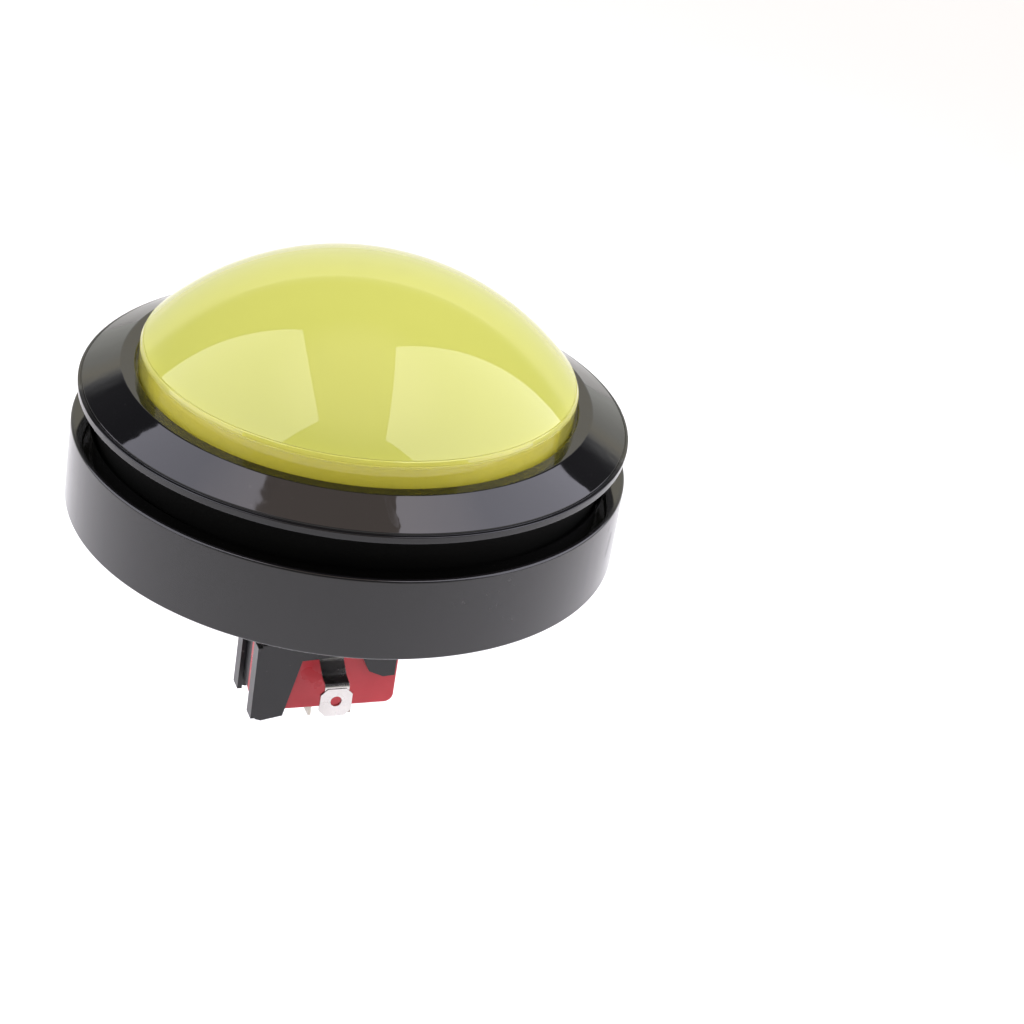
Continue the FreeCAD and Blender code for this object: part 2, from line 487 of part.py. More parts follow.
case = round_block(-SW_L / 2, SW_L / 2, FRONT, SW_SPLIT_Y, SW_BOT, SW_TOP, 1.8)
cover = round_block(-SW_L / 2, SW_L / 2, SW_SPLIT_Y, -FRONT, SW_BOT, SW_TOP, 2.2)
case = fillet_at(case, lambda e: abs(e.BoundBox.YMin - FRONT) < 1e-6 and abs(e.BoundBox.YMax - FRONT) < 1e-6, 0.35)
cover = fillet_at(cover, lambda e: abs(e.BoundBox.YMin + FRONT) < 1e-6 and abs(e.BoundBox.YMax + FRONT) < 1e-6, 0.6)
cavity = box(-12.9, 12.9, -4.1, 4.1, SW_BOT + 1.1, SW_TOP - 1.1)
bosses = None
for (px, pz) in PEG:
    b = Part.makeCylinder(2.3, 20, V(px, -10, pz), V(0, 1, 0))
    bosses = b if bosses is None else bosses.fuse(b)
cavity = cavity.cut(bosses)
holes = None
for (px, pz) in PEG:
    b = Part.makeCylinder(1.5, 20, V(px, -10, pz), V(0, 1, 0))
    holes = b if holes is None else holes.fuse(b)
slot_p = box(PL_X0 - 0.15, PL_X1 + 0.15, -1.45, 1.45, T - 1.6, T + 1)
slot_com = y_box(SW_L / 2 - 2, SW_L / 2 + 1, TERM_W + 1.4, COM_Z - 0.6, COM_Z)
slot_no = y_box(6.2, 6.8, 3.6, SW_BOT - 1, SW_BOT + 2)
slot_nc = y_box(-1.9, -1.3, 3.6, SW_BOT - 1, SW_BOT + 2)
for c in (cavity, holes, slot_p, slot_com, slot_no, slot_nc):
    case = case.cut(c)
    cover = cover.cut(c)
cover = cover.fuse(cyl(1.15, SW_TOP - 0.8, SW_TOP + 1.3, -11.6, 3.0))
save("switch_case", case)
save("switch_cover", cover)

# ---------------------------------------------------------------- 20 lamp_body, 21 lamp_led, 22 lamp_leads
LB = SOCKET_Z + 5.2       # underside of the round body
LTOP = LB + 14.0
lamp = cyl(LAMP_R, LB, LTOP)
lamp = fillet_at(lamp, lambda e: e.BoundBox.ZLength < 1e-6, 0.35)
for k in range(16):       # fine flutes round the skirt
    g = cyl(0.3, LB - 1, LB + 7.5, LAMP_R + 0.12, 0)
    g.rotate(V(0, 0, 0), V(0, 0, 1), 22.5 * k)
    lamp = lamp.cut(g)
lamp = lamp.cut(cyl(2.65, LB + 2.0, LTOP + 1)).cut(Part.makeCone(2.2, 3.9, 3.2, V(0, 0, LTOP - 3.15)))
wedge = box(-1.25, 1.25, -2.5, 2.5, SOCKET_Z + 0.1, LB + 0.5)
wedge = wedge.cut(box(-1.6, 1.6, -0.45, 0.45, SOCKET_Z - 1, SOCKET_Z + 0.55)).cut(box(-3, -0.85, -0.55, 0.55, SOCKET_Z - 1, LB - 1.0)).cut(box(0.85, 3, -0.55, 0.55, SOCKET_Z - 1, LB - 1.0))
lamp = lamp.fuse(wedge).removeSplitter()
for sx in (-1, 1):
    lamp = lamp.cut(cyl(0.3, SOCKET_Z - 1, LB + 3, sx * 0.6, 0))
save("lamp_body", lamp)
led = cyl(2.5, LB + 2.3, LB + 7.6).fuse(Part.makeSphere(2.5, V(0, 0, LB + 7.6))).fuse(cyl(2.62, LB + 2.0, LB + 2.9))
led = led.removeSplitter()
save("lamp_led", led)
leads = []
for sx in (-1, 1):
    wz0 = SOCKET_Z + 0.02
    w = cyl(0.27, wz0 + 0.2, LB + 2.0, sx * 0.6, 0)
    w = w.fuse(box(*sorted((sx * 0.45, sx * 1.45)), -0.27, 0.27, wz0 - 0.15, wz0 + 0.35))
    w = w.fuse(box(*sorted((sx * 0.95, sx * 1.45)), -0.27, 0.27, wz0 - 0.15, LB - 1.3))
    leads.append(w.removeSplitter())
save("lamp_leads", Part.makeCompound([l.Solids[0] if l.ShapeType == "Compound" else l for l in leads]))
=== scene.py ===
import json
import math

import bmesh
import bpy
from mathutils import Matrix, Vector


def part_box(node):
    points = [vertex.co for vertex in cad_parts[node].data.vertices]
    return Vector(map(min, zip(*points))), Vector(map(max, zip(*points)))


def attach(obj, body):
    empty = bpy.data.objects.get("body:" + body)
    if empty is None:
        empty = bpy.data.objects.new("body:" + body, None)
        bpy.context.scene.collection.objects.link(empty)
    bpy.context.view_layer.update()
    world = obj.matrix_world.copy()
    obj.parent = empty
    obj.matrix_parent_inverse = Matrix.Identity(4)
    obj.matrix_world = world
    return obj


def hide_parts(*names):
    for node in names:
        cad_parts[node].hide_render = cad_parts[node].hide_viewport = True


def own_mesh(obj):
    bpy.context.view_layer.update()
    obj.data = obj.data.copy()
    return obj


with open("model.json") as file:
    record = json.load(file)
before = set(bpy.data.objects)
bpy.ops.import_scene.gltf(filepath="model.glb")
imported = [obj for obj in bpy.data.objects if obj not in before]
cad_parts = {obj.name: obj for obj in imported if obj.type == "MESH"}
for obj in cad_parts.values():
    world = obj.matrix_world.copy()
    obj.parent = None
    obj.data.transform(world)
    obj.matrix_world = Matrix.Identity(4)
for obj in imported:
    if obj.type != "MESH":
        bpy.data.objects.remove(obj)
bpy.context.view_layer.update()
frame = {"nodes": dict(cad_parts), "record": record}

N = frame["nodes"]
scene = bpy.context.scene
scene.view_settings.view_transform = "Standard"
scene.view_settings.look = "None"

MM = 0.001


# ------------------------------------------------------------------ material helpers
class Mat:
    """A node material with one Principled shader and small helpers for its textures."""

    def __init__(self, name):
        self.m = bpy.data.materials.new(name)
        self.m.use_nodes = True
        self.nt = self.m.node_tree
        self.nt.nodes.clear()
        self.out = self.n("ShaderNodeOutputMaterial")
        self.p = self.n("ShaderNodeBsdfPrincipled")
        self.link(self.p.outputs[0], self.out.inputs[0])
        self.co = self.n("ShaderNodeTexCoord").outputs["Object"]

    def n(self, kind, **props):
        node = self.nt.nodes.new(kind)
        for k, v in props.items():
            setattr(node, k, v)
        return node

    def link(self, a, b):
        self.nt.links.new(a, b)

    def set(self, **kw):
        for k, v in kw.items():
            self.p.inputs[k.replace("_", " ")].default_value = v
        return self

    def noise(self, scale, detail=3.0, rough=0.5, stretch=None, dist=0.0):
        co = self.co
        if stretch is not None:
            mp = self.n("ShaderNodeMapping")
            mp.inputs["Scale"].default_value = stretch
            self.link(co, mp.inputs["Vector"])
            co = mp.outputs[0]
        t = self.n("ShaderNodeTexNoise")
        t.inputs["Scale"].default_value = scale
        t.inputs["Detail"].default_value = detail
        t.inputs["Roughness"].default_value = rough
        t.inputs["Distortion"].default_value = dist
        self.link(co, t.inputs["Vector"])
        return t.outputs["Fac"]

    def voronoi(self, scale, feature="F1", rnd=1.0):
        t = self.n("ShaderNodeTexVoronoi", feature=feature)
        t.inputs["Scale"].default_value = scale
        t.inputs["Randomness"].default_value = rnd
        self.link(self.co, t.inputs["Vector"])
        return t.outputs["Distance"]

    def ramp(self, fac, stops):
        r = self.n("ShaderNodeValToRGB")
        els = r.color_ramp.elements
        while len(els) < len(stops):
            els.new(0.5)
        for e, (pos, col) in zip(els, stops):
            e.position = pos
            e.color = (*col, 1.0) if len(col) == 3 else col
        self.link(fac, r.inputs["Fac"])
        return r.outputs["Color"]

    def xyz(self):
        if not hasattr(self, "_xyz"):
            self._xyz = self.n("ShaderNodeSeparateXYZ")
            self.link(self.co, self._xyz.inputs[0])
        return self._xyz.outputs

    def radius(self):
        x, y, _ = self.xyz()
        return self.math("SQRT", self.math("ADD", self.math("MULTIPLY", x, x), self.math("MULTIPLY", y, y)))

    def range(self, fac, a, b, c, d):
        r = self.n("ShaderNodeMapRange")
        for i, v in enumerate((a, b, c, d)):
            r.inputs[i + 1].default_value = v
        self.link(fac, r.inputs[0])
        return r.outputs[0]

    def math(self, op, a, b=None):
        r = self.n("ShaderNodeMath", operation=op)
        for i, v in enumerate((a, b)):
            if v is None:
                continue
            if isinstance(v, (int, float)):
                r.inputs[i].default_value = v
            else:
                self.link(v, r.inputs[i])
        return r.outputs[0]

    def mix(self, fac, a, b):
        r = self.n("ShaderNodeMix", data_type="RGBA")
        for s, v in ((r.inputs[0], fac), (r.inputs[6], a), (r.inputs[7], b)):
            if isinstance(v, (int, float)):
                s.default_value = v
            elif isinstance(v, tuple):
                s.default_value = (*v, 1.0)
            else:
                self.link(v, s)
        return r.outputs[2]

    def bump(self, height, strength, distance, edge=0.0):
        b = self.n("ShaderNodeBump")
        b.inputs["Strength"].default_value = strength
        b.inputs["Distance"].default_value = distance
        self.link(height, b.inputs["Height"])
        if edge:
            e = self.n("ShaderNodeBevel", samples=4)
            e.inputs["Radius"].default_value = edge
            self.link(e.outputs[0], b.inputs["Normal"])
        self.link(b.outputs[0], self.p.inputs["Normal"])

    def color(self, sock):
        self.link(sock, self.p.inputs["Base Color"])

    def rough(self, sock):
        self.link(sock, self.p.inputs["Roughness"])


def moulded_black(name, dark, light, r_lo, r_hi, peel, grain, edge, dust=0.0, scratch=0.0, spec=0.5, ripple=0.0, inner=None):
    """Injection moulded black plastic: flow shading, orange peel, rubbed patches, fine scratches and dust, with
    optional painted shade on the inner faces.
    """
    m = Mat(name)
    m.set(Specular_IOR_Level=spec, IOR=1.52)
    flow = m.noise(28.0, 4.0, 0.55, stretch=(1, 1, 0.35))
    col = m.ramp(flow, [(0.30, dark), (0.72, light)])
    if dust:
        lint = m.math("GREATER_THAN", m.noise(900.0, 1.0, 0.4), 0.735)
        mask = m.math("MULTIPLY", lint, m.range(m.noise(55.0, 2.0), 0.5, 0.7, 0.0, 1.0))
        col = m.mix(m.math("MULTIPLY", mask, dust), col, (0.20, 0.19, 0.18))
    rub = m.noise(42.0, 5.0, 0.62)
    rough = m.range(rub, 0.35, 0.70, r_lo, r_hi)
    if inner:
        # painted shade: faces inside radius inner[0] and above inner[1], which lie in shadow under the bezel, are
        # painted near black; they also get the polished roughness inner[2]
        painted_shade_mask = m.math("MULTIPLY", m.math("LESS_THAN", m.radius(), inner[0]), m.math("GREATER_THAN", m.xyz()[2], inner[1]))
        col = m.mix(painted_shade_mask, col, (0.0012, 0.0012, 0.0010))
        rough = m.math("ADD", m.math("MULTIPLY", rough, m.math("SUBTRACT", 1.0, painted_shade_mask)), m.math("MULTIPLY", painted_shade_mask, inner[2]))
    m.color(col)
    scr = m.noise(210.0, 2.0, 0.4, stretch=(1.0, 0.05, 0.6), dist=0.4)
    line = m.math("GREATER_THAN", scr, 0.725)
    if scratch:
        rough = m.math("ADD", rough, m.math("MULTIPLY", line, scratch))
    m.rough(rough)
    h = m.math("ADD", m.math("MULTIPLY", m.noise(620.0, 2.0), peel), m.math("MULTIPLY", m.noise(5200.0, 2.0, 0.6), grain))
    if ripple:
        h = m.math("ADD", h, m.math("MULTIPLY", m.noise(170.0, 2.0, 0.45), ripple))
    if scratch:
        h = m.math("SUBTRACT", h, m.math("MULTIPLY", line, 0.06))
    m.bump(h, 0.30, 0.00012, edge)
    return m.m


MATS = {}
MATS["bezel_plastic"] = moulded_black("bezel_gloss_black", (0.0016, 0.0016, 0.0022), (0.0030, 0.0029, 0.0036), 0.022, 0.060, 0.0, 0.003, 0.0, dust=0.05, scratch=0.05, spec=0.46, ripple=1.3)
# inner: painted shade, the drum's rim top and inner faces are painted near black where the bezel shades them
MATS["drum_plastic"] = moulded_black("drum_gloss_black", (0.0048, 0.0046, 0.0050), (0.0078, 0.0074, 0.0078), 0.13, 0.20, 0.05, 0.01, 0.0, dust=0.10, scratch=0.08, ripple=0.5, inner=(0.04995, 0.002, 0.07))
MATS["carrier_plastic"] = moulded_black("carrier_black", (0.0016, 0.0016, 0.0014), (0.0028, 0.0028, 0.0024), 0.50, 0.65, 0.1, 0.08, 0.0, spec=0.04)
MATS["nut_plastic"] = moulded_black("nut_nylon_black", (0.010, 0.010, 0.011), (0.018, 0.018, 0.019), 0.30, 0.42, 0.25, 0.12, 0.00015, dust=0.3)
MATS["holder_plastic"] = moulded_black("holder_nylon_black", (0.0062, 0.0060, 0.0064), (0.0110, 0.0106, 0.0112), 0.26, 0.38, 0.25, 0.10, 0.00012, dust=0.25, spec=0.36)
MATS["plunger_plastic"] = moulded_black("plunger_acetal", (0.010, 0.010, 0.010), (0.016, 0.016, 0.016), 0.30, 0.40, 0.2, 0.05, 0.0001)
MATS["black_cover"] = moulded_black("cover_phenolic_black", (0.011, 0.011, 0.012), (0.020, 0.020, 0.021), 0.30, 0.44, 0.3, 0.15, 0.00012, dust=0.3)


def red_phenolic():
    m = Mat("case_red")
    m.set(Specular_IOR_Level=0.38, IOR=1.50)
    m.color(m.ramp(m.noise(60.0, 5.0, 0.6), [(0.30, (0.37, 0.018, 0.026)), (0.70, (0.49, 0.032, 0.043))]))
    m.rough(m.range(m.noise(140.0, 4.0), 0.3, 0.7, 0.24, 0.38))
    m.bump(m.noise(900.0, 3.0, 0.6), 0.30, 0.00006, 0.00015)
    return m.m


MATS["red_case"] = red_phenolic()


def metal(name, base, tint, r_lo, r_hi, brush=(1.0, 1.0, 0.06), tarnish=0.0, edge=0.00008):
    m = Mat(name)
    m.set(Metallic=1.0)
    cloud = m.noise(160.0, 4.0, 0.6)
    m.color(m.ramp(cloud, [(0.30, tint), (0.66, base)]))
    grain = m.noise(2600.0, 2.0, 0.5, stretch=brush)
    rough = m.range(m.noise(240.0, 4.0, 0.6), 0.3, 0.7, r_lo, r_hi)
    if tarnish:
        rough = m.math("ADD", rough, m.math("MULTIPLY", m.math("GREATER_THAN", m.noise(420.0, 3.0), 0.60), tarnish))
    m.rough(rough)
    m.bump(grain, 0.25, 0.00003, edge)
    return m.m


MATS["nickel_strip"] = metal("nickel_strip", (0.60, 0.575, 0.555), (0.50, 0.48, 0.46), 0.20, 0.32)
MATS["switch_terminal"] = metal("terminal_tarnished", (0.52, 0.49, 0.43), (0.26, 0.23, 0.19), 0.26, 0.42, tarnish=0.15)
MATS["contact_copper"] = metal("contact_copper", (0.80, 0.50, 0.30), (0.55, 0.32, 0.18), 0.20, 0.34)
MATS["screw_steel"] = metal("screw_zinc", (0.70, 0.70, 0.66), (0.48, 0.48, 0.45), 0.22, 0.36, brush=(1, 1, 1))
MATS["spring_steel"] = metal("spring_wire", (0.58, 0.57, 0.55), (0.40, 0.39, 0.37), 0.22, 0.34, brush=(1, 1, 1))
MATS["lead_wire"] = metal("lead_tinned", (0.82, 0.81, 0.78), (0.62, 0.61, 0.58), 0.18, 0.30, brush=(1, 1, 1))


def clear_shell(name, tint, rough_lo, rough_hi, ior=1.49, peel=0.05, absorb=None, clear=1.0, lower_band_painted_light=None):
    """Clear moulded plastic. It lets light through to what lies under it instead of throwing a solid shadow."""
    m = Mat(name)
    m.set(IOR=ior, Transmission_Weight=clear, Metallic=0.0)
    col = m.ramp(m.noise(35.0, 3.0), [(0.3, tint), (0.7, tuple(min(1.0, c * 1.012) for c in tint))])
    if lower_band_painted_light:
        # below the corner the wall is clearer, and its surface colour is painted brighter there: painted light on the
        # upright wall, which the lamps above reach only at a grazing angle
        low = m.range(m.xyz()[2], lower_band_painted_light[0], lower_band_painted_light[1], 1.0, 0.0)
        col = m.mix(low, col, lower_band_painted_light[2])
        m.link(m.range(low, 0.0, 1.0, clear, lower_band_painted_light[3]), m.p.inputs["Transmission Weight"])
    m.color(col)
    m.rough(m.range(m.noise(150.0, 4.0), 0.35, 0.7, rough_lo, rough_hi))
    m.bump(m.noise(260.0, 2.0), peel, 0.00006)
    tr = m.n("ShaderNodeBsdfTransparent")
    tr.inputs["Color"].default_value = (0.96, 0.96, 0.93, 1.0)
    lp = m.n("ShaderNodeLightPath")
    mx = m.n("ShaderNodeMixShader")
    m.link(lp.outputs["Is Shadow Ray"], mx.inputs[0])
    m.link(m.p.outputs[0], mx.inputs[1])
    m.link(tr.outputs[0], mx.inputs[2])
    m.link(mx.outputs[0], m.out.inputs[0])
    if absorb:
        v = m.n("ShaderNodeVolumeAbsorption")
        v.inputs["Color"].default_value = (*absorb[0], 1.0)
        v.inputs["Density"].default_value = absorb[1]
        m.link(v.outputs[0], m.out.inputs["Volume"])
    return m.m


# the lens's lower band is made clearer and painted brighter (painted light)
MATS["clear_lens"] = clear_shell("lens_tinted", (0.437, 0.446, 0.097), 0.0, 0.015, absorb=((0.97, 0.93, 0.35), 140.0), clear=0.24,
                                 lower_band_painted_light=(0.0304, 0.0322, (0.76, 0.725, 0.17), 0.78))
MATS["led_resin"] = clear_shell("led_resin", (0.98, 0.90, 0.55), 0.02, 0.06, ior=1.54)


def diffuser():
    m = Mat("diffuser_yellow")
    m.set(IOR=1.49, Specular_IOR_Level=0.4, Subsurface_Weight=0.25, Subsurface_Scale=0.004)
    m.p.inputs["Subsurface Radius"].default_value = (1.0, 0.95, 0.25)
    col = m.ramp(m.noise(18.0, 3.0, 0.5), [(0.30, (0.66, 0.65, 0.36)), (0.70, (0.70, 0.69, 0.39))])
    # painted light: the upright lower wall below 30-32 mm is painted a brighter yellow, because the lamps above reach
    # it only at a grazing angle
    m.color(m.mix(m.range(m.xyz()[2], 0.0300, 0.0320, 1.0, 0.0), col, (0.80, 0.76, 0.40)))
    m.rough(m.range(m.noise(90.0, 4.0), 0.3, 0.7, 0.22, 0.32))
    m.bump(m.noise(1500.0, 2.0, 0.6), 0.12, 0.00005)
    return m.m


MATS["yellow_diffuser"] = diffuser()


def lamp_plastic():
    m = Mat("lamp_amber")
    m.set(IOR=1.49, Specular_IOR_Level=0.5, Subsurface_Weight=0.45, Subsurface_Scale=0.0025)
    m.p.inputs["Subsurface Radius"].default_value = (1.0, 0.6, 0.1)
    m.color(m.ramp(m.noise(120.0, 3.0), [(0.30, (0.88, 0.50, 0.010)), (0.70, (0.96, 0.60, 0.022))]))
    m.rough(m.range(m.noise(300.0, 3.0), 0.3, 0.7, 0.16, 0.28))
    m.bump(m.noise(1200.0, 3.0, 0.6), 0.35, 0.00008, 0.00015)
    return m.m


MATS["lamp_plastic"] = lamp_plastic()

slot_of = {s["node"]: s["material_slot"] for s in frame["record"]["subparts"]}
for node, obj in N.items():
    mat = MATS[slot_of[node]]
    if not obj.material_slots:
        obj.data.materials.append(mat)
    for s in obj.material_slots:
        s.material = mat


# ------------------------------------------------------------------ fine turned surfaces
def outline(points, closed=True, arc_step=9.0):
    """Profile of (r, z, fillet) in mm -> list of (p, q, normal_p, normal_q) pieces, going round with the solid on the left."""
    n = len(points)
    P = [Vector((p[0], p[1])) for p in points]
    R = [p[2] if len(p) > 2 else 0.0 for p in points]
    corner = []
    for i in range(n):
        a, b, c = P[i - 1], P[i], P[(i + 1) % n]
        if R[i] <= 0 or (not closed and i in (0, n - 1)):
            corner.append((b, b, None))
            continue
        d1, d2 = (b - a).normalized(), (c - b).normalized()
        turn = math.acos(max(-1.0, min(1.0, d1.dot(d2))))
        tl = min(R[i] * math.tan(turn / 2), 0.49 * (b - a).length, 0.49 * (c - b).length)
        r = tl / math.tan(turn / 2)
        s = 1.0 if d1.x * d2.y - d1.y * d2.x > 0 else -1.0
        p, q = b - d1 * tl, b + d2 * tl
        corner.append((p, q, (p + Vector((-d1.y, d1.x)) * s * r, r, s, turn)))
    out = []
    for i in range(n):
        p, q, arc = corner[i]
        if arc:
            c, r, s, turn = arc
            k = max(3, int(math.degrees(turn) / arc_step) + 1)
            a0 = math.atan2(p.y - c.y, p.x - c.x)
            pts = [Vector((c.x + r * math.cos(a0 + s * turn * j / k), c.y + r * math.sin(a0 + s * turn * j / k))) for j in range(k + 1)]
            for u, v in zip(pts, pts[1:]):
                out.append((u, v, (u - c).normalized() * s, (v - c).normalized() * s))
        if closed or i < n - 1:
            e = corner[(i + 1) % n][0]
            if (e - q).length > 1e-6:
                d = (e - q).normalized()
                nn = Vector((d.y, -d.x))
                out.append((q, e, nn, nn))
    return out


def turned(name, pieces, seg=360):
    """Solid of revolution about Z with exact shading normals from its profile."""
    verts, faces, norms = [], [], []
    cs = [(math.cos(2 * math.pi * k / seg), math.sin(2 * math.pi * k / seg)) for k in range(seg)]
    cache = {}

    def ring(p):
        key = (round(p.x, 6), round(p.y, 6))
        if key not in cache:
            base = len(verts)
            if p.x < 1e-6:
                verts.append((0.0, 0.0, p.y * MM))
                cache[key] = [base] * seg
            else:
                verts.extend((p.x * MM * c, p.x * MM * s_, p.y * MM) for c, s_ in cs)
                cache[key] = list(range(base, base + seg))
        return cache[key]

    for p, q, n0, n1 in pieces:
        a, b = ring(p), ring(q)
        for k in range(seg):
            j = (k + 1) % seg
            c0, c1 = cs[k], cs[j]
            quad = [(a[k], n0, c0), (b[k], n1, c0), (b[j], n1, c1), (a[j], n0, c1)]
            if p.x < 1e-6:
                quad = quad[:3]
            elif q.x < 1e-6:
                quad = [quad[0], quad[1], quad[3]]
            quad.reverse()
            faces.append([v for v, _, _ in quad])
            norms.extend((nn.x * c[0], nn.x * c[1], nn.y) for _, nn, c in quad)
    me = bpy.data.meshes.new(name)
    me.from_pydata(verts, [], faces)
    for poly in me.polygons:
        poly.use_smooth = True
    me.normals_split_custom_set(norms)
    me.update()
    o = bpy.data.objects.new(name, me)
    scene.collection.objects.link(o)
    return o


def place(obj, slot, body, replaces=None):
    obj.data.materials.clear()
    obj.data.materials.append(MATS[slot])
    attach(obj, body)
    if replaces:
        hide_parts(replaces)
    return obj


def arc_pieces(c, r, a0, a1, k, flip=1.0):
    """Circular arc as profile pieces; the normal points away from the centre, or towards it if flip is -1."""
    pts = [Vector((c[0] + r * math.cos(a0 + (a1 - a0) * j / k), c[1] + r * math.sin(a0 + (a1 - a0) * j / k))) for j in range(k + 1)]
    cc = Vector(c)
    return [(u, v, (u - cc).normalized() * flip, (v - cc).normalized() * flip) for u, v in zip(pts, pts[1:])]


# bezel ring: glossy, with the fine groove inside its lip and a soft crest
bezel = turned("bezel_ring_turned", outline([
    (41.0, 22.3, 0.1), (46.65, 22.3, 0.1), (46.65, 23.2, 0.2), (48.4, 23.2, 0.2), (48.4, 22.3, 0.1), (50.0, 22.3, 0.25),
    (50.0, 23.62, 0.18), (49.52, 23.74, 0.05), (49.46, 23.62, 0.05), (49.30, 23.66, 0.05), (49.22, 24.02, 0.12), (42.75, 27.52, 0.7), (40.1, 27.40, 0.30),
    (40.1, 24.55, 0.0), (41.0, 24.55, 0.0)]), 400)
place(bezel, "bezel_plastic", "head", "bezel_ring")

# dome lens and the diffuser nested in it
def dome_pieces(rb, apex, rs, t, z_foot, flange_r, z1, blend, k=56, land=False):
    zc = apex - rs
    out = []

    def cap(rbx, rsx, bl):
        rc = rbx - bl
        zb = zc + math.sqrt((rsx - bl) ** 2 - rc ** 2)
        ta = math.atan2(zb - zc, rc)
        return rc, zb, ta

    if land:
        # band, fine groove, sloping land, fine groove, cap
        r_cap = rb - 0.62
        z_cap = zc + math.sqrt(rs * rs - r_cap * r_cap)
        ta = math.atan2(z_cap - zc, r_cap)
        out += outline([(rb - t, z_foot), (flange_r, z_foot), (flange_r, z1, 0.1), (rb, z1), (rb, z_cap - 1.02, 0.12), (rb - 0.14, z_cap - 0.98, 0.04), (rb - 0.12, z_cap - 0.84, 0.04),
                        (rb - 0.40, z_cap - 0.24, 0.2), (rb - 0.56, z_cap - 0.14, 0.04), (rb - 0.62, z_cap - 0.16, 0.03), (r_cap, z_cap)], closed=False, arc_step=20)
    else:
        rc, zb, ta = cap(rb, rs, blend)
        out += outline([(rb - t, z_foot), (flange_r, z_foot), (flange_r, z1), (rb, z1), (rb, zb)], closed=False)
        out += arc_pieces((rc, zb), blend, 0.0, ta, 10)
    out += arc_pieces((0.0, zc), rs, ta, math.pi / 2, k)
    bl2 = max(blend - t, 0.6)
    rc2, zb2, ta2 = cap(rb - t, rs - t, bl2)
    out += arc_pieces((0.0, zc), rs - t, math.pi / 2, ta2, k, -1.0)
    out += arc_pieces((rc2, zb2), bl2, ta2, 0.0, 8, -1.0)
    out += outline([(rb - t, zb2), (rb - t, z_foot)], closed=False)
    return out


lens = turned("dome_lens_turned", dome_pieces(39.6, 48.92, 53.4, 1.8, 22.3, 40.85, 24.5, 0.7, land=True), 320)
place(lens, "clear_lens", "head", "dome_lens")
diff = turned("diffuser_turned", dome_pieces(37.65, 46.97, 51.45, 1.5, 22.3, 37.75, 23.6, 1.0), 320)
place(diff, "yellow_diffuser", "head", "diffuser_dome")

# drum: turned shell, ribbed underside, catch lugs, helical stem thread
drum = turned("drum_turned", outline([
    (10.0, 0.0, 0.0), (17.0, 0.0, 0.15), (17.0, 0.8, 0.15), (40.0, 0.8, 0.15), (40.0, 0.0, 0.15), (50.8, 0.0, 0.5), (50.7, 15.6, 0.45),
    (47.2, 15.6, 0.35), (47.0, 2.6, 0.6), (12.0, 2.6, 0.6), (12.0, 8.0, 0.4), (10.0, 8.0, 0.3)]), 400)


def block(name, x0, x1, y0, y1, z0, z1, bevel, turn_deg=0.0):
    bm = bmesh.new()
    bmesh.ops.create_cube(bm, size=1.0)
    for v in bm.verts:
        v.co = Vector(((x0 + x1) / 2 + v.co.x * (x1 - x0), (y0 + y1) / 2 + v.co.y * (y1 - y0), (z0 + z1) / 2 + v.co.z * (z1 - z0))) * MM
    if bevel:
        bmesh.ops.bevel(bm, geom=list(bm.edges), offset=bevel * MM, segments=2, profile=0.5, affect="EDGES")
    bmesh.ops.rotate(bm, verts=bm.verts, cent=(0, 0, 0), matrix=Matrix.Rotation(math.radians(turn_deg), 3, "Z"))
    me = bpy.data.meshes.new(name)
    bm.to_mesh(me)
    bm.free()
    o = bpy.data.objects.new(name, me)
    scene.collection.objects.link(o)
    return o


def sector_block(name, ro, ri, z0, z1, mid_deg, half_deg, k=10):
    bm = bmesh.new()
    lo_, hi_ = [], []
    for z, store in ((z0, lo_), (z1, hi_)):
        for r in (ri, ro):
            row = []
            for i in range(k + 1):
                a = math.radians(mid_deg - half_deg + 2 * half_deg * i / k)
                row.append(bm.verts.new((r * MM * math.cos(a), r * MM * math.sin(a), z * MM)))
            store.append(row)
    for i in range(k):
        bm.faces.new((lo_[0][i], lo_[0][i + 1], lo_[1][i + 1], lo_[1][i]))
        bm.faces.new((hi_[0][i], hi_[1][i], hi_[1][i + 1], hi_[0][i + 1]))
        bm.faces.new((lo_[1][i], lo_[1][i + 1], hi_[1][i + 1], hi_[1][i]))
        bm.faces.new((lo_[0][i], hi_[0][i], hi_[0][i + 1], lo_[0][i + 1]))
    for i in (0, k):
        bm.faces.new((lo_[0][i], lo_[1][i], hi_[1][i], hi_[0][i]))
    bmesh.ops.recalc_face_normals(bm, faces=bm.faces)
    me = bpy.data.meshes.new(name)
    bm.to_mesh(me)
    bm.free()
    o = bpy.data.objects.new(name, me)
    scene.collection.objects.link(o)
    return o


